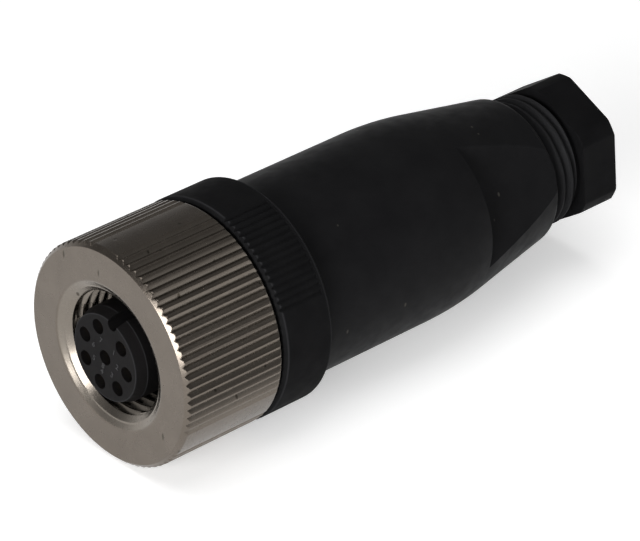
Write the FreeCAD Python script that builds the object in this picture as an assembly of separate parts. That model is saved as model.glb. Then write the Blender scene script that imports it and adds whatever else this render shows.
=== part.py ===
"""M12 cable connector, eight-pole, female, straight, for wiring in the field.

Millimetres. The connector's axis is X, with its origin at the centre of the mating face and the
cable end towards +X. +Z is up: it lies on its knurled nut and collar. Screw threads are plain
cylinders at their major diameter, apart from the socket nut's, which is cut at its minor diameter.
"""
import FreeCAD, Part
import os
from math import cos, pi, radians, sin, sqrt, tan

# Mating face, to the M12 A-coded eight-pole layout
nose_dia = 8.5
nose_lead_in = 1.0
nose_lead_in_depth = 0.35
nose_step = 0.2
pin_circle_dia = 5.5
ring_contacts = 7
contact_step_deg = 49.0
key_angle_deg = 106.0
keyway_width = 1.1
keyway_radius_at = 3.75
contact_hole_dia = 1.35

# Coupling nut
nut_dia = 20.0
nut_length = 10.4
nut_setback = 0.3
nut_edge = 0.4
nut_rear_rim = 0.3
thread_dia = 12.0
thread_pitch = 1.0
minor_dia_drop_per_pitch = 1.0825
nut_counterbore_length = 3.6
nut_rear_wall = 2.82
countersink_dia = 13.0
countersink_depth = 0.75
nut_grooves_per_sector = 23
nut_groove_step_deg = 4.55
nut_groove_depth = 0.3
nut_plain_sector_deg = 88.0
groove_share_of_step = 0.86
sectors = 3

# Knurled collar that carries the nut in front and the shell behind
collar_proud = 0.05
collar_length = 5.45
collar_gap = 0.25
collar_edge = 0.3
collar_rear_edge = 0.45
collar_rear_rim = 0.7
collar_grooves_per_sector = 15
collar_groove_step_deg = 3.72
collar_groove_depth = 0.2
collar_knurl_centre_deg = 130.0
collar_rear_step = 2.65
spigot_length = 3.4
spigot_wall = 0.8

# Snap ring that holds the nut on the collar's sleeve
snap_width = 0.6
snap_height = 0.75
snap_in_sleeve = 0.35
snap_from_sleeve_front = 0.9
snap_gap_deg = 20.0

# Seals
face_seal_width = 1.0
face_seal_height = 1.0
joint_seal_width = 0.7
seal_edge = 0.15
cable_seal_length = 4.0
cable_seal_bore = 6.0

# Contact carrier, terminal block and contacts
carrier_flange_length = 4.0
shoulder_from_collar_rear = 4.0
key_rib_width = 1.4
key_rib_height = 0.35
block_length = 8.0
centre_boss_dia = 3.4
centre_boss_length = 4.0
contact_dia = 1.2
contact_recess = 0.8
contact_bore = 0.84
contact_bore_depth = 6.0
contact_slot = 0.22
clamp_dia = 2.0
wire_hole_dia = 1.1
wire_hole_depth = 3.6
screw_dia = 1.0
screw_length = 1.7
screw_from_rear = 2.0
screw_slot = 0.22
screw_slot_depth = 0.4

# Back shell
shell_front_wall = 1.475
shell_barrel_length = 17.6
shell_taper_length = 10.9
shell_end_wall = 0.85
shell_end_land = 1.0
shell_end_round = 0.58
shell_blend = 3.0
shell_wall = 1.65
flat_wall = 0.45
flats_angle_deg = 156.0
flats_from_taper_start = 2.0
web_thickness = 2.3
web_hole_dia = 7.2

# Gland: clamp ring and hexagon pressure screw
gland_thread_dia = 12.0
gland_bore_depth = 12.3
gland_shank_length = 7.4
gland_relief_length = 0.9
gland_relief_depth = 0.6
hex_across_flats = 12.0
hex_across_corners = 13.1
hex_length = 3.9
hex_angle_deg = -5.0
hex_edge = 0.35
cable_bore = 7.0
cable_bore_edge = 0.6
clamp_ring_length = 3.0
clamp_ring_wall = 2.1
clamp_ring_edge = 0.4
clamp_slots = 8
clamp_slot_width = 0.7
clamp_slot_length = 2.0
seal_slack = 1.6

# Clearances, on the radius
seat_clearance = 0.05
running_clearance = 0.08
slide_clearance = 0.1

V = FreeCAD.Vector
AXIS = V(1, 0, 0)
far = 3 * nut_dia


def turned(outline):
    """Solid of revolution about X from (x, radius) corners joined by straight lines.

    A corner's third value rounds it with an arc that starts that far along each side.
    """
    corners = [V(corner[0], corner[1], 0) for corner in outline]
    edges = []
    arrivals = []
    leavings = []
    for k, here in enumerate(corners):
        reach = outline[k][2] if len(outline[k]) > 2 else 0
        back = (corners[k - 1] - here).normalize()
        ahead = (corners[(k + 1) % len(corners)] - here).normalize()
        arrivals.append(here + back * reach)
        leavings.append(here + ahead * reach)
        if reach:
            half_turn = (pi - back.getAngle(ahead)) / 2
            middle = here + (back + ahead).normalize() * reach * tan(half_turn / 2)
            edges.append(Part.Arc(arrivals[k], middle, leavings[k]).toShape())
    for k, leaving in enumerate(leavings):
        edges.append(Part.makeLine(leaving, arrivals[(k + 1) % len(corners)]))
    wire = Part.Wire(Part.__sortEdges__(edges))
    return Part.Face(wire).revolve(V(0, 0, 0), AXIS, 360)


def rod(x0, x1, dia):
    return Part.makeCylinder(dia / 2, x1 - x0, V(x0, 0, 0), AXIS)


def tube(x0, x1, outer, inner):
    return rod(x0, x1, outer).cut(rod(x0 - 1, x1 + 1, inner))


def at_angle(shape, angle_deg):
    """Turn a shape about X so that its +Y side points at the angle from +Y towards +Z."""
    copy = shape.copy()
    copy.rotate(V(0, 0, 0), AXIS, angle_deg)
    return copy


def seal_ring(x, width, inner_dia, height):
    """Moulded ring of square section with eased edges, its front face at x."""
    low, high, edge = inner_dia / 2, inner_dia / 2 + height, seal_edge
    return turned([(x, low + edge), (x, high - edge), (x + edge, high), (x + width - edge, high),
                   (x + width, high - edge), (x + width, low + edge), (x + width - edge, low),
                   (x + edge, low)])


def v_grooves(x0, x1, dia, depth, step_deg, angles):
    """Straight knurling: one V-section bar for each groove, sunk into the rim."""
    half_width = dia / 2 * tan(radians(step_deg)) / 2 * groove_share_of_step
    top = dia / 2 + depth
    half_top = 2 * half_width
    section = Part.Face(Part.makePolygon([V(x0, dia / 2 - depth, 0), V(x0, top, half_top),
                                          V(x0, top, -half_top), V(x0, dia / 2 - depth, 0)]))
    bar = section.extrude(V(x1 - x0, 0, 0))
    return Part.makeCompound([at_angle(bar, a) for a in angles])


def sector_angles(centre_deg, count, step_deg):
    """Angles of count grooves centred on each knurled sector."""
    angles = []
    for sector in range(sectors):
        middle = centre_deg + sector * 360 / sectors
        angles += [middle + (k - (count - 1) / 2) * step_deg for k in range(count)]
    return angles


# Stations along the axis
nut_rear = nut_setback + nut_length
thread_end = nut_rear - nut_counterbore_length
collar_front = nut_rear + collar_gap
collar_rear = collar_front + collar_length
face_seal_front = thread_end + slide_clearance
sleeve_front = face_seal_front + face_seal_width
shoulder = collar_rear - shoulder_from_collar_rear
flange_rear = shoulder + carrier_flange_length
spigot_rear = collar_rear + spigot_length
block_rear = flange_rear + block_length
boss_rear = block_rear + centre_boss_length
taper_start = collar_rear + shell_barrel_length
taper_end = taper_start + shell_taper_length
shell_rear = taper_end + shell_end_land
seal_front = shell_rear - gland_bore_depth
web_front = seal_front - web_thickness
seal_rear = seal_front + cable_seal_length
clamp_front = seal_rear + seal_slack
clamp_rear = clamp_front + clamp_ring_length
hex_front = clamp_rear + gland_shank_length
hex_rear = hex_front + hex_length

# Diameters that follow from a neighbour
thread_minor_dia = thread_dia - minor_dia_drop_per_pitch * thread_pitch
seal_seat_dia = nose_dia + 2 * nose_step
sleeve_bore = seal_seat_dia + 2 * seat_clearance
nut_rear_bore = nut_dia - 2 * nut_rear_wall
sleeve_dia = nut_rear_bore - 2 * running_clearance
collar_dia = nut_dia + 2 * collar_proud
spigot_dia = collar_dia - 2 * collar_rear_step
carrier_cavity_dia = spigot_dia - 2 * spigot_wall
snap_inner_dia = sleeve_dia - 2 * snap_in_sleeve
snap_outer_dia = snap_inner_dia + 2 * snap_height
carrier_dia = carrier_cavity_dia - 2 * seat_clearance
shell_dia = spigot_dia + 2 * shell_front_wall
gland_bore = gland_thread_dia + 2 * seat_clearance
shell_end_dia = gland_bore + 2 * shell_end_wall
flats_across = gland_bore + 2 * flat_wall
first_contact_deg = key_angle_deg + (360 - (ring_contacts - 1) * contact_step_deg) / 2
contact_angles = [first_contact_deg + k * contact_step_deg for k in range(ring_contacts)]


def coupling_nut():
    front, rear, r = nut_setback, nut_rear, nut_dia / 2
    snap_x = sleeve_front + snap_from_sleeve_front
    groove_r = snap_outer_dia / 2 + slide_clearance
    body = turned([
        (front, countersink_dia / 2), (front, r - nut_edge), (front + nut_edge, r), (rear, r),
        (rear, nut_rear_bore / 2 + nut_edge), (rear - nut_edge, nut_rear_bore / 2),
        (snap_x + snap_width + slide_clearance, nut_rear_bore / 2),
        (snap_x + snap_width + slide_clearance, groove_r), (snap_x - slide_clearance, groove_r),
        (snap_x - slide_clearance, nut_rear_bore / 2), (thread_end, nut_rear_bore / 2),
        (thread_end, thread_minor_dia / 2), (front + countersink_depth, thread_minor_dia / 2)])
    half_sector = 180 / sectors
    angles = sector_angles(nut_plain_sector_deg + half_sector, nut_grooves_per_sector,
                           nut_groove_step_deg)
    return body.cut(v_grooves(front - nut_edge, rear - nut_rear_rim, nut_dia, nut_groove_depth,
                              nut_groove_step_deg, angles))


def nut_snap_ring():
    x = sleeve_front + snap_from_sleeve_front
    ring = tube(x, x + snap_width, snap_outer_dia, snap_inner_dia)
    gap = nut_dia * tan(radians(snap_gap_deg / 2))
    wedge = Part.Face(Part.makePolygon([V(x - 1, 0, 0), V(x - 1, nut_dia, gap),
                                        V(x - 1, nut_dia, -gap), V(x - 1, 0, 0)]))
    return ring.cut(at_angle(wedge.extrude(V(snap_width + 2, 0, 0)), -90))


def grip_collar():
    r = collar_dia / 2
    groove_x = sleeve_front + snap_from_sleeve_front - seat_clearance
    groove_end = groove_x + snap_width + 2 * seat_clearance
    groove_r = snap_inner_dia / 2 - seat_clearance
    body = turned([
        (sleeve_front, sleeve_bore / 2), (sleeve_front, sleeve_dia / 2),
        (groove_x, sleeve_dia / 2), (groove_x, groove_r), (groove_end, groove_r),
        (groove_end, sleeve_dia / 2), (collar_front, sleeve_dia / 2),
        (collar_front, r - collar_edge), (collar_front + collar_edge, r),
        (collar_rear - collar_rear_edge, r), (collar_rear, r - collar_rear_edge),
        (collar_rear, spigot_dia / 2), (spigot_rear, spigot_dia / 2),
        (spigot_rear, carrier_cavity_dia / 2), (shoulder, carrier_cavity_dia / 2),
        (shoulder, sleeve_bore / 2)])
    angles = sector_angles(collar_knurl_centre_deg, collar_grooves_per_sector,
                           collar_groove_step_deg)
    body = body.cut(v_grooves(collar_front - collar_edge, collar_rear - collar_rear_rim,
                              collar_dia, collar_groove_depth, collar_groove_step_deg, angles))
    return body.cut(key_rib(shoulder, spigot_rear + 1, seat_clearance))


def key_rib(x0, x1, grow):
    """Rib on the carrier's flange, or with grow the slot it slides into."""
    width = key_rib_width + 2 * grow
    top = carrier_dia / 2 + key_rib_height + grow
    foot = carrier_dia / 2 - key_rib_height
    bar = Part.makeBox(x1 - x0, top - foot, width, V(x0, foot, -width / 2))
    return at_angle(bar, key_angle_deg)


def contact_places():
    """(y, z) of the ring of contacts, in order round from the keyway, then the middle one."""
    r = pin_circle_dia / 2
    ring = [(r * cos(radians(a)), r * sin(radians(a))) for a in contact_angles]
    return ring + [(0.0, 0.0)]


def contact_carrier():
    body = turned([
        (0, 0), (0, nose_dia / 2 - nose_lead_in_depth), (nose_lead_in, nose_dia / 2),
        (face_seal_front, nose_dia / 2), (face_seal_front, seal_seat_dia / 2),
        (shoulder, seal_seat_dia / 2),
        (shoulder, carrier_dia / 2), (flange_rear, carrier_dia / 2), (flange_rear, 0)])
    body = body.fuse(key_rib(shoulder, flange_rear, 0))
    slot = rod(-1, face_seal_front, keyway_width)
    slot.translate(V(0, keyway_radius_at, 0))
    mouth = Part.makeBox(face_seal_front + 1, nose_dia, keyway_width,
                         V(-1, keyway_radius_at, -keyway_width / 2))
    body = body.cut(at_angle(slot.fuse(mouth), key_angle_deg))
    holes = []
    for y, z in contact_places():
        hole = rod(-1, flange_rear + 1, contact_hole_dia)
        hole.translate(V(0, y, z))
        holes.append(hole)
    return body.cut(Part.makeCompound(holes)).removeSplitter()


def screw_axis(index):
    """Station, angle and inner end radius of a contact's clamping screw."""
    if index < ring_contacts:
        return block_rear - screw_from_rear, contact_angles[index], pin_circle_dia / 2
    return boss_rear - screw_from_rear, key_angle_deg, 0.0


def radial_rod(x, angle_deg, r0, r1, dia):
    return at_angle(Part.makeCylinder(dia / 2, r1 - r0, V(x, r0, 0), V(0, 1, 0)), angle_deg)


def contact(index):
    """Turned brass socket, slotted in front, with a wire hole and screw hole behind."""
    y, z = contact_places()[index]
    clamp_front_x = flange_rear if index < ring_contacts else block_rear
    rear = block_rear if index < ring_contacts else boss_rear
    stem, clamp = contact_dia / 2, clamp_dia / 2
    body = turned([
        (contact_recess, contact_bore / 2), (contact_recess, stem), (clamp_front_x, stem),
        (clamp_front_x, clamp), (rear, clamp), (rear, wire_hole_dia / 2),
        (rear - wire_hole_depth, wire_hole_dia / 2), (rear - wire_hole_depth, 0),
        (contact_recess + contact_bore_depth, 0),
        (contact_recess + contact_bore_depth, contact_bore / 2)])
    slot = Part.makeBox(contact_bore_depth, 2 * stem + 1, contact_slot,
                        V(contact_recess - 1, -stem - 0.5, -contact_slot / 2))
    body = body.cut(at_angle(slot, key_angle_deg))
    body.translate(V(0, y, z))
    x, angle, r = screw_axis(index)
    return body.cut(radial_rod(x, angle, r, r + clamp_dia, screw_dia + 2 * seat_clearance))


def terminal_block():
    cell = clamp_dia + 2 * seat_clearance
    body = rod(flange_rear, block_rear, carrier_dia)
    body = body.fuse(rod(block_rear, boss_rear, centre_boss_dia))
    cuts = []
    for index, (y, z) in enumerate(contact_places()):
        x, angle, r = screw_axis(index)
        hole_end = block_rear if index < ring_contacts else boss_rear
        hole = rod(flange_rear - 1, hole_end + 1, cell)
        if index == ring_contacts:
            hole = rod(flange_rear - 1, block_rear, contact_dia + 2 * seat_clearance)
            hole = hole.fuse(rod(block_rear, boss_rear + 1, cell))
        hole.translate(V(0, y, z))
        cuts += [hole, radial_rod(x, angle, r, r + carrier_dia, screw_dia + 4 * seat_clearance)]
    for cut in cuts:
        body = body.cut(cut)
    return body


def terminal_screws():
    screws = []
    for index in range(ring_contacts + 1):
        x, angle, r = screw_axis(index)
        r0 = r + wire_hole_dia / 4
        screw = radial_rod(x, 0, r0, r0 + screw_length, screw_dia)
        slot = Part.makeBox(screw_slot, screw_slot_depth, 2 * screw_dia,
                            V(x - screw_slot / 2, r0 + screw_length - screw_slot_depth, -screw_dia))
        screws.append(at_angle(screw.cut(slot), angle))
    return Part.makeCompound(screws)


def back_shell():
    """Barrel, taper and two spanner flats outside; wiring space, web and gland bore inside."""
    front, r, end_r = collar_rear, shell_dia / 2, shell_end_dia / 2
    slope = (r - end_r) / shell_taper_length
    bore = spigot_dia / 2 + seat_clearance
    space = r - shell_wall
    seal_recess = bore + joint_seal_width
    rear_r = end_r - slope * shell_end_land
    end_round = min(shell_end_round, 0.9 * (rear_r - gland_bore / 2))
    body = turned([
        (front, seal_recess), (front, r), (taper_start, r, shell_blend), (taper_end, end_r),
        (shell_rear, rear_r, end_round), (shell_rear, gland_bore / 2),
        (seal_front, gland_bore / 2), (seal_front, web_hole_dia / 2),
        (web_front, web_hole_dia / 2), (web_front, space), (spigot_rear + joint_seal_width, space),
        (spigot_rear, bore), (front + joint_seal_width, bore),
        (front + joint_seal_width, seal_recess)])
    flat = Part.makeBox(far, far, far, V(taper_start + flats_from_taper_start, flats_across / 2,
                                         -far / 2))
    for side in (0, 180):
        body = body.cut(at_angle(flat, flats_angle_deg + side))
    return body


def cable_seal():
    return tube(seal_front, seal_rear, gland_thread_dia - 2 * seat_clearance, cable_seal_bore)


def clamp_ring():
    """Slotted ring that the pressure screw drives onto the seal."""
    outer = gland_bore - 2 * slide_clearance
    inner = outer - 2 * clamp_ring_wall
    body = turned([
        (clamp_front, inner / 2 + clamp_ring_wall / 2),
        (clamp_front, outer / 2 - clamp_ring_edge), (clamp_front + clamp_ring_edge, outer / 2),
        (clamp_rear, outer / 2), (clamp_rear, inner / 2),
        (clamp_front + clamp_slot_length, inner / 2)])
    slot = Part.makeBox(clamp_slot_length + 1, outer, clamp_slot_width,
                        V(clamp_front - 1, 0, -clamp_slot_width / 2))
    slots = [at_angle(slot, k * 360 / clamp_slots) for k in range(clamp_slots)]
    return body.cut(Part.makeCompound(slots))


def gland_nut():
    """Hexagon with turned corners, thread relief, threaded shank and cable bore."""
    shank_r = gland_thread_dia / 2
    relief_x = hex_front - gland_relief_length
    shank = turned([
        (clamp_rear, 0), (clamp_rear, shank_r - gland_relief_depth / 2),
        (clamp_rear + gland_relief_depth / 2, shank_r), (relief_x, shank_r),
        (relief_x, shank_r - gland_relief_depth), (hex_front, shank_r - gland_relief_depth),
        (hex_front, 0)])
    sharp = hex_across_flats / sqrt(3)
    corners = [V(hex_front, sharp * cos(radians(30 + 60 * k)), sharp * sin(radians(30 + 60 * k)))
               for k in range(7)]
    prism = Part.Face(Part.makePolygon(corners)).extrude(V(hex_length, 0, 0))
    corner_r = hex_across_corners / 2
    turned_blank = turned([(hex_front, 0), (hex_front, corner_r), (hex_rear - hex_edge, corner_r),
                           (hex_rear, corner_r - 2 * hex_edge), (hex_rear, 0)])
    head = at_angle(prism.common(turned_blank), hex_angle_deg)
    bore = turned([(clamp_rear - 1, 0), (clamp_rear - 1, cable_bore / 2),
                   (hex_rear - cable_bore_edge, cable_bore / 2),
                   (hex_rear, cable_bore / 2 + cable_bore_edge),
                   (hex_rear + 1, cable_bore / 2 + cable_bore_edge), (hex_rear + 1, 0)])
    return shank.fuse(head).cut(bore).removeSplitter()


def face_seal():
    return seal_ring(face_seal_front, face_seal_width, seal_seat_dia, face_seal_height)


def joint_seal():
    return seal_ring(collar_rear, joint_seal_width, spigot_dia, joint_seal_width)


nodes = {
    "coupling_nut": coupling_nut(),
    "nut_snap_ring": nut_snap_ring(),
    "face_seal": face_seal(),
    "grip_collar": grip_collar(),
    "contact_carrier": contact_carrier(),
    "terminal_block": terminal_block(),
    "terminal_screws": terminal_screws(),
    "joint_seal": joint_seal(),
    "back_shell": back_shell(),
    "cable_seal": cable_seal(),
    "clamp_ring": clamp_ring(),
    "gland_nut": gland_nut(),
}
for number in range(ring_contacts + 1):
    nodes["contact_%d" % (number + 1)] = contact(number)

os.makedirs("parts", exist_ok=True)
for name, shape in nodes.items():
    shape.exportStep("parts/%s.step" % name)
    box = shape.BoundBox
    print("%-16s solids %d valid %s volume %8.2f x %6.2f to %6.2f"
          % (name, len(shape.Solids), shape.isValid(), shape.Volume, box.XMin, box.XMax))
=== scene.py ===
"""M12 cable connector: eight-pole socket, knurled nickel nut, black collar and back shell, gland.

Metres, in the CAD part's frame: the axis is X, the mating face is at x = 0, the cable end is
towards +X and +Z is up. Angles about the axis go from +Y towards +Z.
"""
from math import cos, pi, radians, sin

import bmesh
import bpy
from mathutils import Matrix, Vector


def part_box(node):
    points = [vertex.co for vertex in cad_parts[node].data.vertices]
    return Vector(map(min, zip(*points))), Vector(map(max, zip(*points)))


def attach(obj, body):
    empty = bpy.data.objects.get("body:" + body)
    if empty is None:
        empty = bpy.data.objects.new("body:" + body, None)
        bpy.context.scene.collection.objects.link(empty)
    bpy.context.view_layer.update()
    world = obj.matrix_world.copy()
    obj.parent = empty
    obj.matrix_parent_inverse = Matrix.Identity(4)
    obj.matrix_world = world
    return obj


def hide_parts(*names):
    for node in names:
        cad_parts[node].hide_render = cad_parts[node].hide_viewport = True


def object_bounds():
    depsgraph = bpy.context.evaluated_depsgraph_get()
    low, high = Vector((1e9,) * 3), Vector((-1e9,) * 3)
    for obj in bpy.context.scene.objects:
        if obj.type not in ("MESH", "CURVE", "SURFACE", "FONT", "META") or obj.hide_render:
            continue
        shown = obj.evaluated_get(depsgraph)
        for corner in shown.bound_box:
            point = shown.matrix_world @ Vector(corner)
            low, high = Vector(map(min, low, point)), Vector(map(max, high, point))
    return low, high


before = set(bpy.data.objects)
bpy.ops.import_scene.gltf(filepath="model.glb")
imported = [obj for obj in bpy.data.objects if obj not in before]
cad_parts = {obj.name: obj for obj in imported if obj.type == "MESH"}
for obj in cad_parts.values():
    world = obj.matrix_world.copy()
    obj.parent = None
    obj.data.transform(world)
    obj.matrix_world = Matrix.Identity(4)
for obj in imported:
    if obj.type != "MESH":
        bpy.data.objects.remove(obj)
cad_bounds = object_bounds()
mm = 0.001

# Contacts: eight sockets turned from brass and gold plated, slotted in front to grip the plug's
# pins, and bored behind for the wire. Each one is pushed into the carrier from the back.


def put(tree, kind, inputs=(), **options):
    """Add a node, set its options, and give its inputs values, other nodes' outputs or Rules."""
    node = tree.nodes.new(kind)
    for option, value in options.items():
        setattr(node, option, value)
    for name, value in dict(inputs).items():
        value = getattr(value, "socket", value)
        if isinstance(value, bpy.types.NodeSocket):
            tree.links.new(value, node.inputs[name])
        else:
            node.inputs[name].default_value = value
    return node


def surface(name, colour, roughness, metallic=0.0, specular=0.5):
    """A new material, its node tree, its shader, and the Object coordinates that patterns read."""
    material = bpy.data.materials.new(name)
    material.use_nodes = True
    tree = material.node_tree
    shader = tree.nodes["Principled BSDF"]
    shader.inputs["Base Color"].default_value = (*colour, 1)
    shader.inputs["Roughness"].default_value = roughness
    shader.inputs["Metallic"].default_value = metallic
    shader.inputs["Specular IOR Level"].default_value = specular
    place = put(tree, "ShaderNodeTexCoord").outputs["Object"]
    return material, tree, shader, place


def cloud(tree, place, size, detail=2.0):
    """Soft noise whose blotches are about as wide as size."""
    noise = put(tree, "ShaderNodeTexNoise", {"Vector": place, "Scale": 1 / size, "Detail": detail})
    return noise.outputs["Fac"]


def spread(tree, factor, low, high, start=0.3, end=0.7):
    """Stretch a factor over the range from low to high.

    Start and end are the factors that give low and high, by default the ends of soft noise.
    """
    return put(tree, "ShaderNodeMapRange", {"Value": factor, "From Min": start, "From Max": end,
                                            "To Min": low, "To Max": high}).outputs["Result"]


def tint(tree, shader, factor, dark, light):
    """Colour the surface between a dark and a light shade."""
    blend = put(tree, "ShaderNodeMix", {0: factor, 6: (*dark, 1), 7: (*light, 1)}, data_type="RGBA")
    tree.links.new(blend.outputs[2], shader.inputs["Base Color"])


def uneven_gloss(tree, shader, factor, low, high):
    """Let the roughness follow a factor between low and high."""
    tree.links.new(spread(tree, factor, low, high), shader.inputs["Roughness"])


def relief(tree, shader, height, depth, below=None):
    """Bump whose full height is depth, laid over an earlier bump where one is given."""
    bump = put(tree, "ShaderNodeBump", {"Height": height, "Distance": depth})
    if below is not None:
        tree.links.new(below.outputs["Normal"], bump.inputs["Normal"])
    tree.links.new(bump.outputs["Normal"], shader.inputs["Normal"])
    return bump


def lengthwise_and_radius(tree, place):
    """How far a point lies along the axis, and how far from it."""
    parts = put(tree, "ShaderNodeSeparateXYZ", {0: place}).outputs
    flat = put(tree, "ShaderNodeCombineXYZ", {"Y": parts["Y"], "Z": parts["Z"]}).outputs[0]
    radius = put(tree, "ShaderNodeVectorMath", {0: flat}, operation="LENGTH").outputs["Value"]
    return parts["X"], radius


def lathe_marks(tree, place, spacing):
    """Rings left by a turning tool: lines round the axis on faces and on cylinders alike."""
    x, radius = lengthwise_and_radius(tree, place)
    along = put(tree, "ShaderNodeMath", {0: radius, 1: x}, operation="ADD").outputs[0]
    noise = put(tree, "ShaderNodeTexNoise", {"W": along, "Scale": 1 / spacing, "Detail": 3.0},
                noise_dimensions="1D")
    return noise.outputs["Fac"]


def finish(node_name, material):
    """Give a CAD node's object its material in every slot."""
    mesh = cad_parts[node_name].data
    if not mesh.materials:
        mesh.materials.append(material)
    for slot in range(len(mesh.materials)):
        mesh.materials[slot] = material


poles = 8
gold, gold_tree, gold_shader, gold_place = surface("gold_plate", (0.45, 0.30, 0.10), roughness=0.36,
                                                   metallic=1)
gold_blotch = cloud(gold_tree, gold_place, size=0.8 * mm)
tint(gold_tree, gold_shader, gold_blotch, dark=(0.36, 0.23, 0.07), light=(0.54, 0.37, 0.14))
uneven_gloss(gold_tree, gold_shader, gold_blotch, low=0.30, high=0.42)
relief(gold_tree, gold_shader, lathe_marks(gold_tree, gold_place, spacing=0.06 * mm), depth=0.002 * mm)
for pole in range(1, poles + 1):
    finish("contact_%d" % pole, gold)

# Contact carrier: one black moulding that holds the contacts in line, keyed in front for the plug
# and behind for the collar. Each hole has its pole's number moulded beside it.


def moulding(name, dark, light, roughness, grain, grain_depth, specular=0.16):
    """Moulded plastic: slight clouding, uneven gloss, and the fine grain of its mould."""
    clouding = 2.5 * mm
    gloss_patch = 1.2 * mm
    material, tree, shader, place = surface(name, dark, roughness, specular=specular)
    blotch = cloud(tree, place, clouding, detail=3.0)
    tint(tree, shader, spread(tree, blotch, 0, 1), dark, light)
    uneven_gloss(tree, shader, cloud(tree, place, gloss_patch), low=roughness - 0.05,
                 high=roughness + 0.06)
    relief(tree, shader, cloud(tree, place, grain, detail=4.0), grain_depth)
    return material, tree, shader, place


def cover(tree, shader, factor, colour):
    """Lay a colour over the surface's own where the factor is 1."""
    under = shader.inputs["Base Color"].links[0].from_socket
    blend = put(tree, "ShaderNodeMix", {0: factor, 6: under, 7: (*colour, 1)}, data_type="RGBA")
    tree.links.new(blend.outputs[2], shader.inputs["Base Color"])


def rubbed_edge(tree, shader, place, edge_x, edge_radius, width, colour):
    """Painted highlight on a moulded corner: a paler thin ring round the axis, faded towards its sides.
    """
    full_share = 0.4
    x, radius = lengthwise_and_radius(tree, place)
    here = put(tree, "ShaderNodeCombineXYZ", {"X": x, "Y": radius}).outputs[0]
    away = put(tree, "ShaderNodeVectorMath", {0: here, 1: (edge_x, edge_radius, 0)},
               operation="DISTANCE").outputs["Value"]
    cover(tree, shader, spread(tree, away, 1, 0, full_share * width, width), colour)


nose_radius = 4.25 * mm
nose_lead_in = 0.35 * mm
nose_lead_in_end = 1.0 * mm
# Paler plastic: the colour of the painted edge highlights, and the darker shade of the moulded numbers.
highlight_and_number_plastic = (0.016, 0.016, 0.017)
carrier_plastic, carrier_tree, carrier_shader, carrier_place = moulding(
    "carrier_plastic", dark=(0.0044, 0.0041, 0.0042), light=(0.0060, 0.0056, 0.0058), roughness=0.5,
    grain=0.12 * mm, grain_depth=0.006 * mm, specular=0.04)
# Painted highlights: paler rings on the nose's front corner and at the end of its lead-in.
for edge_x, edge_radius, width in ((0, nose_radius - nose_lead_in, 0.10 * mm),
                                   (nose_lead_in_end, nose_radius, 0.08 * mm)):
    rubbed_edge(carrier_tree, carrier_shader, carrier_place, edge_x, edge_radius, width, highlight_and_number_plastic)
finish("contact_carrier", carrier_plastic)
number_plastic = moulding("number_plastic", dark=highlight_and_number_plastic, light=(0.024, 0.024, 0.025),
                          roughness=0.4, grain=0.12 * mm, grain_depth=0.006 * mm)[0]


def shown_mesh(piece):
    """The mesh that an object shows once its modifiers or its letters are worked out."""
    return bpy.data.meshes.new_from_object(
        piece.evaluated_get(bpy.context.evaluated_depsgraph_get()))


contact_step = radians(49.0)
key_angle = radians(106.0)
number_ring = 1.55 * mm
middle_number_ring = 0.95 * mm
number_height = 0.5 * mm
number_relief = 0.04 * mm
letter_height = 0.7
letter_curve_steps = 3
# Letters are drawn facing +Z with their tops towards +Y, and turn to face -X with their tops up.
facing_out = Matrix(((0, 0, -1, 0), (-1, 0, 0, 0), (0, 1, 0, 0), (0, 0, 0, 1)))
key_up = Matrix.Rotation(key_angle - pi / 2, 4, "X")
numbers = bmesh.new()
for pole in range(1, poles + 1):
    angle = key_angle + pi + (pole - poles / 2) * contact_step
    reach = number_ring
    if pole == poles:
        angle = key_angle + pi
        reach = middle_number_ring
    letters = bpy.data.curves.new("number", "FONT")
    letters.body = str(pole)
    letters.align_x = "CENTER"
    letters.align_y = "CENTER"
    letters.extrude = number_relief / number_height * letter_height
    letters.resolution_u = letter_curve_steps
    writing = bpy.data.objects.new("number", letters)
    bpy.context.collection.objects.link(writing)
    drawn = shown_mesh(writing)
    place = Matrix.Translation((0, reach * cos(angle), reach * sin(angle)))
    drawn.transform(place @ key_up @ facing_out @ Matrix.Scale(number_height / letter_height, 4))
    numbers.from_mesh(drawn)
    bpy.data.objects.remove(writing)

merge_distance = 0.0005 * mm


def build(name, shape, material):
    """Make a mesh object of a bmesh, its doubles merged and its faces turned outwards."""
    bmesh.ops.remove_doubles(shape, verts=shape.verts, dist=merge_distance)
    bmesh.ops.recalc_face_normals(shape, faces=shape.faces)
    mesh = bpy.data.meshes.new(name)
    shape.to_mesh(mesh)
    shape.free()
    mesh.materials.clear()
    mesh.materials.append(material)
    piece = bpy.data.objects.new(name, mesh)
    bpy.context.collection.objects.link(piece)
    return piece


pole_numbers = build("pole_numbers", numbers, number_plastic)
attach(pole_numbers, "connector_body")

# Terminal block: a second black moulding behind the carrier, with a cell for each contact's clamp
# and a hole over each screw. It is out of sight inside the back shell.

block_plastic = moulding("block_plastic", dark=(0.009, 0.009, 0.009), light=(0.013, 0.013, 0.012),
                         roughness=0.45, grain=0.2 * mm, grain_depth=0.008 * mm)[0]
finish("terminal_block", block_plastic)

# Terminal screws: eight small slotted screws of nickel-plated brass. Each one is screwed into its
# contact through the block, and clamps a wire there.

screw_metal, screw_tree, screw_shader, screw_place = surface("screw_nickel", (0.45, 0.42, 0.37),
                                                             roughness=0.3, metallic=1)
uneven_gloss(screw_tree, screw_shader, cloud(screw_tree, screw_place, size=0.3 * mm), low=0.25, high=0.42)
relief(screw_tree, screw_shader, cloud(screw_tree, screw_place, size=0.05 * mm), depth=0.003 * mm)
finish("terminal_screws", screw_metal)

# Grip collar: the black nylon body between nut and shell. Its sleeve carries the nut on the snap
# ring, and its rim has three sectors of fine ridges for the fingers.

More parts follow.
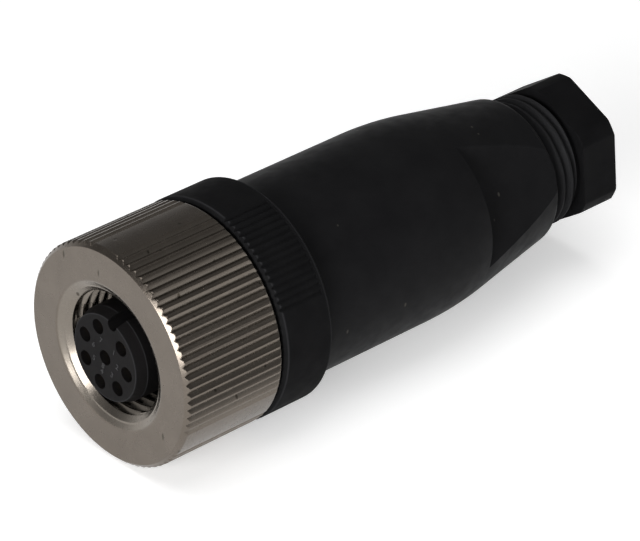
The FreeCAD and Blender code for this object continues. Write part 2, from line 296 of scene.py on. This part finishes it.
collar_nylon, collar_tree, collar_shader, collar_place = moulding(
    "collar_nylon", dark=(0.0056, 0.0056, 0.0060), light=(0.0076, 0.0076, 0.0080), roughness=0.7,
    grain=0.10 * mm, grain_depth=0.007 * mm, specular=0.03)
collar_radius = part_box("grip_collar")[1][2]
collar_rim_front = 11.25 * mm
collar_rim_back = 15.95 * mm
# Painted highlights: paler rings on the front and back corners of the rim.
for edge_x in (collar_rim_front, collar_rim_back):
    rubbed_edge(collar_tree, collar_shader, collar_place, edge_x, collar_radius, width=0.13 * mm,
                colour=highlight_and_number_plastic)
finish("grip_collar", collar_nylon)

# Snap ring: an open ring of spring steel wire, sprung into the sleeve's groove behind the seal. It
# holds the nut on the sleeve and lets it turn.

snap_steel, snap_tree, snap_shader, snap_place = surface("spring_steel", (0.42, 0.41, 0.40),
                                                         roughness=0.28, metallic=1)
relief(snap_tree, snap_shader, lathe_marks(snap_tree, snap_place, spacing=0.05 * mm), depth=0.002 * mm)
uneven_gloss(snap_tree, snap_shader, cloud(snap_tree, snap_place, size=0.5 * mm), low=0.22, high=0.36)
finish("nut_snap_ring", snap_steel)

# Coupling nut: turned from brass and nickel plated, M12 x 1 inside, countersunk in front, and
# counterbored behind for the collar's sleeve. Its rim has three knurled sectors, whose V grooves
# run out on the front and the rear chamfer.


class Rule:
    """A number that a node tree works out, written with ordinary arithmetic."""

    def __init__(self, tree, socket):
        self.tree = tree
        self.socket = socket

    def math(self, operation, *others):
        values = dict(enumerate((self.socket, *others)))
        return Rule(self.tree, put(self.tree, "ShaderNodeMath", values, operation=operation).outputs[0])

    def within_one(self):
        return self.math("MAXIMUM", 0.0).math("MINIMUM", 1.0)

    def __add__(self, other):
        return self.math("ADD", other)

    def __sub__(self, other):
        return self.math("SUBTRACT", other)

    def __rsub__(self, other):
        return Rule(self.tree, other).math("SUBTRACT", self)

    def __mul__(self, other):
        return self.math("MULTIPLY", other)

    def __truediv__(self, other):
        return self.math("DIVIDE", other)

    def __rtruediv__(self, other):
        return Rule(self.tree, other).math("DIVIDE", self)


def turned_tree():
    """Sweep a closed section round X, then cut knurling, a thread and flats into it by rule.

    The section is a loose mesh of points, x along the axis and y the radius. Thread side is 1 for
    a thread cut into a bore and -1 for one cut into a shank.
    """
    tree = bpy.data.node_groups.new("turned_piece", "GeometryNodeTree")
    face = tree.interface
    face.new_socket("Geometry", in_out="INPUT", socket_type="NodeSocketGeometry")
    face.new_socket("Geometry", in_out="OUTPUT", socket_type="NodeSocketGeometry")
    face.new_socket("Material", in_out="INPUT", socket_type="NodeSocketMaterial")
    # As these stand, nothing is cut: knurling, thread and flats lie out of the section's reach.
    counts = {"Sectors": 3, "Grooves": 0, "Steps per groove": 10, "Plain steps": 120, "Flats": 6}
    lengths = {"Groove step": 0.0, "First groove": 0.0, "Rim radius": 1.0, "Groove depth": 0.0,
               "Groove shape": 1.0, "Crest share": 0.0, "Thread radius": 0.0,
               "Thread depth": 0.0, "Thread pitch": 0.001, "Thread start": 0.0,
               "Thread front": -1.0, "Thread run in": 0.001, "Thread end": 0.0,
               "Thread side": 1.0, "Across flats": 2.0, "Flats angle": 0.0, "Flats front": 0.0,
               "Crease angle": radians(38.0)}
    for name, value in counts.items():
        face.new_socket(name, in_out="INPUT", socket_type="NodeSocketInt").default_value = value
    for name, value in lengths.items():
        face.new_socket(name, in_out="INPUT", socket_type="NodeSocketFloat").default_value = value
    given = put(tree, "NodeGroupInput").outputs
    size = {name: Rule(tree, given[name]) for name in (*counts, *lengths)}

    # A grid has a row for each point of the section and a column for each step of the turn. Its last
    # row and last column lie on the first ones and are merged with them.
    cut_steps = size["Grooves"] * size["Steps per groove"]
    sector_steps = cut_steps + size["Plain steps"]
    columns = size["Sectors"] * sector_steps + 1
    points = put(tree, "GeometryNodeAttributeDomainSize", {"Geometry": given["Geometry"]})
    points = Rule(tree, points.outputs["Point Count"])
    grid = put(tree, "GeometryNodeMeshGrid", {"Vertices X": points + 1, "Vertices Y": columns})
    index = Rule(tree, put(tree, "GeometryNodeInputIndex").outputs[0])
    row = (index / columns).math("FLOOR")
    column = index - row * columns
    spot = put(tree, "GeometryNodeInputPosition").outputs[0]
    section = put(tree, "GeometryNodeSampleIndex", {"Geometry": given["Geometry"], "Value": spot,
                  "Index": row.math("MODULO", points)}, data_type="FLOAT_VECTOR")
    section = put(tree, "ShaderNodeSeparateXYZ", {0: section.outputs["Value"]}).outputs
    x = Rule(tree, section["X"])
    radius = Rule(tree, section["Y"])

    # Each sector has its grooves first and its plain part after them.
    sector = (column / sector_steps).math("FLOOR")
    step = column - sector * sector_steps
    cut = step.math("MINIMUM", cut_steps) / size["Steps per groove"]
    plain = (step - cut_steps).math("MAXIMUM", 0.0) / size["Plain steps"]
    whole = 2 * pi / size["Sectors"]
    angle = size["First groove"] + sector * whole + cut * size["Groove step"]
    angle = angle + plain * (whole - size["Grooves"] * size["Groove step"])

    # Knurling: a groove goes from the crest at one side, through its bottom, to the crest at the other.
    from_crest = 1.0 - (cut.math("FRACT") * 2.0 - 1.0).math("ABSOLUTE")
    land = size["Crest share"]
    groove = ((from_crest - land) / (1.0 - land)).math("MAXIMUM", 0.0)
    groove = groove.math("POWER", size["Groove shape"])
    radius = radius.math("MINIMUM", size["Rim radius"] - size["Groove depth"] * groove)

    # Thread: these shares of the pitch go to its flat crest and to both its flanks, and the rest to
    # its flat root. Past its end the cut is put a metre out of reach.
    crest_flat = 0.2
    both_flanks = 0.625
    turn = x / size["Thread pitch"] - angle / (2 * pi) - size["Thread start"]
    from_root = (turn.math("FRACT") - 0.5).math("ABSOLUTE") * 2.0
    flank = ((1.0 - crest_flat - from_root) / both_flanks).within_one()
    run_in = ((x - size["Thread front"]) / size["Thread run in"]).within_one()
    past_end = x.math("GREATER_THAN", size["Thread end"])
    side = size["Thread side"]
    thread = side * size["Thread radius"] + size["Thread depth"] * (flank * run_in) - past_end
    radius = side * (side * radius).math("MAXIMUM", thread)

    # Flats: a flat's distance from the axis grows away from its middle. Before the flats' front it
    # is put a metre out of reach.
    flat = whole * size["Sectors"] / size["Flats"]
    off_flat = ((angle - size["Flats angle"]) / flat + 0.5).math("FRACT") - 0.5
    reach = size["Across flats"] / 2.0 / (off_flat * flat).math("COSINE")
    before = x.math("LESS_THAN", size["Flats front"])
    radius = radius.math("MINIMUM", reach + before)

    swept = put(tree, "ShaderNodeCombineXYZ", {"X": x, "Y": radius * angle.math("COSINE"),
                                               "Z": radius * angle.math("SINE")})
    moved = put(tree, "GeometryNodeSetPosition", {"Geometry": grid.outputs["Mesh"],
                                                  "Position": swept.outputs[0]})
    closed = put(tree, "GeometryNodeMergeByDistance", {"Geometry": moved.outputs[0],
                                                       "Distance": merge_distance})
    smooth = put(tree, "GeometryNodeSetShadeSmooth", {"Geometry": closed.outputs[0],
                                                      "Shade Smooth": True})
    bend = Rule(tree, put(tree, "GeometryNodeInputMeshEdgeAngle").outputs["Unsigned Angle"])
    eased = put(tree, "GeometryNodeSetShadeSmooth", {
        "Geometry": smooth.outputs[0], "Shade Smooth": bend.math("LESS_THAN", size["Crease angle"])},
        domain="EDGE")
    real = put(tree, "GeometryNodeRealizeInstances", {"Geometry": eased.outputs[0]})
    dressed = put(tree, "GeometryNodeSetMaterial", {"Geometry": real.outputs[0],
                                                    "Material": given["Material"]})
    put(tree, "NodeGroupOutput", {"Geometry": dressed.outputs[0]})
    return tree


turning_tree = turned_tree()


def section_points(corners):
    """Points along a closed section of (x, radius, ease, spacing) corners, in millimetres.

    Ease is how far a corner's round reaches along its two sides. Spacing is how far apart the
    points lie on the side that follows. 0 leaves the side as one run, and a long one gets a point
    close to each end, which keeps its shading flat.
    """
    round_steps = 4
    hold = 0.04
    long_side = 0.2
    spots = [Vector(corner[:2]) for corner in corners]
    eases = [corner[2] for corner in corners]
    spacings = [corner[3] for corner in corners]
    points = []
    for k, spot in enumerate(spots):
        following = (k + 1) % len(spots)
        ahead = (spots[following] - spot).normalized()
        back = (spots[k - 1] - spot).normalized()
        steps = round_steps if eases[k] else 0
        for step in range(steps + 1):
            t = step / max(steps, 1)
            points.append(spot + back * eases[k] * (1 - t) ** 2 + ahead * eases[k] * t ** 2)
        start = points[-1]
        end = spots[following] - ahead * eases[following]
        length = (end - start).length
        if spacings[k]:
            parts = max(round(length / spacings[k]), 1)
            points += [start.lerp(end, part / parts) for part in range(1, parts)]
        elif length > long_side:
            points += [start + ahead * hold, end - ahead * hold]
    return [point * mm for point in points]


def turned_piece(name, corners, material, **sizes):
    """A plain mesh object of a section that the turning tree has swept and cut to the sizes given."""
    outline = bpy.data.meshes.new(name)
    outline.from_pydata([(point.x, point.y, 0) for point in section_points(corners)], [], [])
    piece = bpy.data.objects.new(name, outline)
    bpy.context.collection.objects.link(piece)
    turning = piece.modifiers.new("turning", "NODES")
    turning.node_group = turning_tree
    sockets = {item.name: item.identifier for item in turning_tree.interface.items_tree
               if item.in_out == "INPUT"}
    turning[sockets["Material"]] = material
    for label, value in sizes.items():
        turning[sockets[label.replace("_", " ").capitalize()]] = value
    mesh = shown_mesh(piece)
    piece.modifiers.clear()
    piece.data = mesh
    shape = bmesh.new()
    shape.from_mesh(mesh)
    bmesh.ops.recalc_face_normals(shape, faces=shape.faces)
    shape.to_mesh(mesh)
    shape.free()
    return piece


def specks(tree, place, spacing, size, share):
    """1 inside round specks: each cell of the spacing has a place for one, and a share hold one."""
    full_share = 0.6
    cells = put(tree, "ShaderNodeTexVoronoi", {"Vector": place, "Scale": 1 / spacing}).outputs
    near = spread(tree, cells["Distance"], 1, 0, full_share * size / spacing, size / spacing)
    chance = put(tree, "ShaderNodeSeparateColor", {0: cells["Color"]}).outputs[0]
    chosen = put(tree, "ShaderNodeMath", {0: chance, 1: 1 - share}, operation="GREATER_THAN")
    return put(tree, "ShaderNodeMath", {0: near, 1: chosen.outputs[0]},
               operation="MULTIPLY").outputs[0]


def drawn_out(tree, place, scale, turn):
    """The place, scaled and turned, so that round specks read from it are drawn out into strokes."""
    return put(tree, "ShaderNodeMapping", {"Vector": place, "Scale": scale,
                                           "Rotation": turn}).outputs[0]


nut_metal, nut_tree, nut_shader, nut_place = surface("nickel_plate", (0.15, 0.133, 0.115),
                                                     roughness=0.26, metallic=1)
nut_blotch = cloud(nut_tree, nut_place, size=2.2 * mm)
tint(nut_tree, nut_shader, spread(nut_tree, nut_blotch, 0, 1), dark=(0.142, 0.122, 0.103),
     light=(0.158, 0.136, 0.115))

# Painted light: the knurl's grooves are painted paler than the rim and the faces, standing in for the
# light their flanks catch. The bore and the countersink are painted paler too, a painted reflection.
groove_brightening = (9.72 * mm, 9.98 * mm)
groove_brightening_front = (0.75 * mm, 1.1 * mm)
bore_brightening = (6.5 * mm, 6.65 * mm)
nut_x, nut_radius = lengthwise_and_radius(nut_tree, nut_place)
nut_below = spread(nut_tree, nut_radius, 1, 0, *groove_brightening)
nut_behind = spread(nut_tree, nut_x, 0, 1, *groove_brightening_front)
nut_painted_groove_light = put(nut_tree, "ShaderNodeMath", {0: nut_below, 1: nut_behind}, operation="MULTIPLY")
cover(nut_tree, nut_shader, nut_painted_groove_light.outputs[0], (0.205, 0.183, 0.157))
nut_painted_bore_light = spread(nut_tree, nut_radius, 1, 0, *bore_brightening)
cover(nut_tree, nut_shader, nut_painted_bore_light, (0.200, 0.178, 0.153))

nut_patches = cloud(nut_tree, nut_place, size=0.9 * mm, detail=4.0)
uneven_gloss(nut_tree, nut_shader, nut_patches, low=0.24, high=0.29)
nut_rings = relief(nut_tree, nut_shader, lathe_marks(nut_tree, nut_place, spacing=0.08 * mm),
                   depth=0.0006 * mm)
nut_slant = drawn_out(nut_tree, nut_place, scale=(1.0, 1.0, 0.35), turn=(0.5, 0, 0))
nut_dents = specks(nut_tree, nut_slant, spacing=1.2 * mm, size=0.17 * mm, share=0.7)
relief(nut_tree, nut_shader, nut_dents, depth=-0.01 * mm, below=nut_rings)
cover(nut_tree, nut_shader, nut_dents, (0.070, 0.060, 0.047))


def box_in_mm(node_name):
    """A CAD node's lowest and highest corners, in millimetres."""
    return [[round(value / mm, 3) for value in corner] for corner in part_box(node_name)]


# The turned outlines are in millimetres: places along the axis, radii, chamfers and edge rounds.
nut_low, nut_high = box_in_mm("coupling_nut")
nut_front = nut_low[0]
nut_back = nut_high[0]
rim_radius = nut_high[2]
rim_round = 0.1
front_chamfer_length = 0.38
front_chamfer_depth = 0.4
back_chamfer_length = 0.28
back_chamfer_depth = 0.26
back_chamfer_round = 0.08
chamfer_spacing = 0.06
countersink_radius = 6.66
countersink_round = 0.14
step_front = 0.62
step_back = 0.66
step_radius = 6.12
step_round = 0.03
major_radius = 6.0
minor_radius = 5.459
thread_pitch = 1.0
bore_front = 1.1
bore_back = 7.1
bore_round = 0.06
bore_spacing = 0.125
cone_spacing = 0.08
sleeve_radius = 7.18
sleeve_lead_in = 0.4
ring_groove_front = 9.0
ring_groove_back = 9.8
ring_groove_radius = 7.6
broken_edge = 0.04
just_past = 0.01
nut_outline = [
    (nut_front, countersink_radius, countersink_round, 0),
    (nut_front, rim_radius - front_chamfer_depth, broken_edge, chamfer_spacing),
    (nut_front + front_chamfer_length, rim_radius, rim_round, 0),
    (nut_back - back_chamfer_length, rim_radius, back_chamfer_round, chamfer_spacing),
    (nut_back, rim_radius - back_chamfer_depth, broken_edge, 0),
    (nut_back, sleeve_radius + sleeve_lead_in, broken_edge, 0),
    (nut_back - sleeve_lead_in, sleeve_radius, 0, 0),
    (ring_groove_back, sleeve_radius, 0, 0),
    (ring_groove_back, ring_groove_radius, 0, 0),
    (ring_groove_front, ring_groove_radius, 0, 0),
    (ring_groove_front, sleeve_radius, 0, 0),
    (bore_back, sleeve_radius, 0, 0),
    (bore_back, minor_radius, 0, bore_spacing),
    (bore_front, minor_radius, bore_round, cone_spacing),
    (step_back, major_radius, step_round, 0),
    (step_front, step_radius, step_round, 0)]
grooves = 23
groove_step = radians(4.55)
first_sector_middle = radians(148.0)
coupling_nut = turned_piece(
    "coupling_nut_turned", nut_outline, nut_metal, grooves=grooves, steps_per_groove=10, plain_steps=6,
    groove_step=groove_step, first_groove=first_sector_middle - groove_step * grooves / 2,
    groove_depth=0.23 * mm, groove_shape=1.1, crest_share=0.2, rim_radius=rim_radius * mm,
    thread_radius=minor_radius * mm, thread_depth=(major_radius - minor_radius) * mm,
    thread_pitch=thread_pitch * mm, thread_start=0.25, thread_front=1.0 * mm, thread_run_in=0.35 * mm,
    thread_end=(bore_back + just_past) * mm, thread_side=1.0, crease_angle=radians(22.0))
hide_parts("coupling_nut")
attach(coupling_nut, "nut")

# Seals: a flat ring behind the thread that meets the plug's face, a ring under the back shell's
# front edge, and the thick grommet that the gland squeezes onto the cable. All moulded rubber.

rubber = moulding("seal_rubber", dark=(0.011, 0.011, 0.012), light=(0.018, 0.018, 0.019), roughness=0.68,
                  grain=0.15 * mm, grain_depth=0.01 * mm, specular=0.25)[0]
for seal in ("face_seal", "joint_seal", "cable_seal"):
    finish(seal, rubber)

# Back shell: a black nylon barrel that screws onto the collar and tapers to the gland's bore, with
# two spanner flats. A few specks of dust lie on it.

shell_nylon, shell_tree, shell_shader, shell_place = moulding(
    "shell_nylon", dark=(0.0066, 0.0066, 0.0072), light=(0.0086, 0.0086, 0.0092), roughness=0.5,
    grain=0.35 * mm, grain_depth=0.006 * mm, specular=0.045)
shell_slant = drawn_out(shell_tree, shell_place, scale=(1.0, 1.0, 0.5), turn=(0.6, 0.5, 0))
dust = specks(shell_tree, shell_slant, spacing=2.0 * mm, size=0.14 * mm, share=0.5)
cover(shell_tree, shell_shader, dust, (0.045, 0.042, 0.036))
finish("back_shell", shell_nylon)

# Clamp ring: a slotted nylon ring between the grommet and the gland nut, hidden in the bore. It lies
# loose there, and moves in and out with the gland nut.

clamp_nylon = moulding("clamp_nylon", dark=(0.02, 0.02, 0.02), light=(0.03, 0.03, 0.03), roughness=0.45,
                       grain=0.2 * mm, grain_depth=0.006 * mm)[0]
finish("clamp_ring", clamp_nylon)

# Gland nut: black nylon, moulded with an M12 x 1 thread, a relief, and a hexagon whose corners are
# rounded off. Screwing it into the shell squeezes the grommet onto the cable.

gland_nylon, gland_tree, gland_shader, gland_place = moulding(
    "gland_nylon", dark=(0.0048, 0.0048, 0.0052), light=(0.0066, 0.0066, 0.0070), roughness=0.55,
    grain=0.3 * mm, grain_depth=0.006 * mm, specular=0.03)
gland_low, gland_high = box_in_mm("gland_nut")
gland_front = gland_low[0]
gland_back = gland_high[0]
gland_lead_in = 0.3
gland_thread_back = 48.95
gland_thread_spacing = 0.1
relief_radius = 5.4
hexagon_front = 49.6
hexagon_front_round = 0.06
hexagon_back_round = 0.12
hexagon_corner = 6.6
across_flats = 12.0
cable_bore = 3.5
bore_chamfer = 0.6
bore_chamfer_round = 0.05
bore_inner_round = 0.1

# The thread is coloured paler than the hexagon, fading to the darker nylon over the relief.
thread_fade = ((gland_thread_back - 0.05) * mm, (gland_thread_back + 0.15) * mm)
gland_x = lengthwise_and_radius(gland_tree, gland_place)[0]
cover(gland_tree, gland_shader, spread(gland_tree, gland_x, 1, 0, *thread_fade), (0.017, 0.017, 0.018))

gland_outline = [
    (gland_front, major_radius - gland_lead_in, 0, 0),
    (gland_front + gland_lead_in, major_radius, 0, gland_thread_spacing),
    (gland_thread_back, major_radius, 0, 0),
    (gland_thread_back, relief_radius, 0, 0),
    (hexagon_front, relief_radius, 0, 0),
    (hexagon_front, hexagon_corner, hexagon_front_round, 0),
    (gland_back, hexagon_corner, hexagon_back_round, 0),
    (gland_back, cable_bore + bore_chamfer, bore_chamfer_round, 0),
    (gland_back - bore_chamfer, cable_bore, bore_inner_round, 0),
    (gland_front, cable_bore, 0, 0)]
gland_nut = turned_piece(
    "gland_nut_moulded", gland_outline, gland_nylon, plain_steps=120, thread_radius=major_radius * mm,
    thread_depth=0.58 * mm, thread_pitch=thread_pitch * mm, thread_start=0.71, thread_side=-1.0,
    thread_end=(gland_thread_back + just_past) * mm, flats=6, across_flats=across_flats * mm,
    flats_angle=radians(55.0), flats_front=(hexagon_front - just_past) * mm, crease_angle=radians(18.0))
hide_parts("gland_nut")
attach(gland_nut, "gland")

# Studio: a white floor under the connector, a surround that is pale at the horizon and grey above
# it, a broad lamp overhead and a smaller one in front of the mating face.

floor_height = cad_bounds[0][2]
floor_reach = 3.0
floor_white = 0.9
floor_glow = 0.4
floor_shape = bmesh.new()
bmesh.ops.create_grid(floor_shape, x_segments=1, y_segments=1, size=floor_reach)
bmesh.ops.translate(floor_shape, verts=floor_shape.verts, vec=(0, 0, floor_height))
floor_material = bpy.data.materials.new("floor")
floor_material.use_nodes = True
floor_tree = floor_material.node_tree
floor_tree.nodes.clear()
# Where the camera, gloss or glass sees the floor it glows too, so that it shows white.
seen_by = put(floor_tree, "ShaderNodeLightPath").outputs
seen = Rule(floor_tree, seen_by["Is Camera Ray"]) + seen_by["Is Glossy Ray"]
seen = seen + seen_by["Is Transmission Ray"]
paint = put(floor_tree, "ShaderNodeBsdfDiffuse", {"Color": (floor_white, floor_white, floor_white, 1)})
glow = put(floor_tree, "ShaderNodeEmission", {"Strength": seen * floor_glow})
both = put(floor_tree, "ShaderNodeAddShader", {0: paint.outputs[0], 1: glow.outputs[0]})
put(floor_tree, "ShaderNodeOutputMaterial", {"Surface": both.outputs[0]})
floor = build("floor", floor_shape, floor_material)

horizon_shade = 0.9
upper_shade = 0.2
upper_shade_starts = 0.35
world = bpy.data.worlds.new("surround")
world.use_nodes = True
bpy.context.scene.world = world
world_tree = world.node_tree
up = put(world_tree, "ShaderNodeSeparateXYZ",
         {0: put(world_tree, "ShaderNodeTexCoord").outputs["Generated"]}).outputs["Z"]
shade = spread(world_tree, up, low=horizon_shade, high=upper_shade, start=0.0, end=upper_shade_starts)
world_tree.links.new(shade, world_tree.nodes["Background"].inputs["Color"])

lamp_target = Vector((20 * mm, 0, 0))


def lamp(name, towards, distance, side, power):
    """A square soft lamp that shines on the connector from a direction."""
    light = bpy.data.lights.new(name, "AREA")
    light.shape = "SQUARE"
    light.size = side
    light.energy = power
    holder = bpy.data.objects.new(name, light)
    holder.location = lamp_target + Vector(towards).normalized() * distance
    holder.rotation_euler = Vector(towards).to_track_quat("Z", "Y").to_euler()
    bpy.context.collection.objects.link(holder)


lamp("overhead", towards=(-0.08, 0, 1.0), distance=0.7, side=0.6, power=2.0)
lamp("front", towards=(-0.92, -0.35, 0.17), distance=0.5, side=0.34, power=4.4)

# Camera: the photograph's view, from in front of the mating face, beside it and above. Its long
# lens stands well back, as the photograph's nearly parallel edges show.

camera_above = radians(31.0874)
camera_aside = radians(42.2613)
camera_data = bpy.data.cameras.new("camera")
camera_data.lens = 247.859
camera_data.sensor_width = 36.0
camera = bpy.data.objects.new("camera", camera_data)
camera.location = (-0.192387, -0.237903, 0.192510)
camera.rotation_euler = (pi / 2 - camera_above, 0, -camera_aside)
bpy.context.collection.objects.link(camera)
bpy.context.scene.camera = camera
bpy.context.scene.view_settings.view_transform = "Standard"
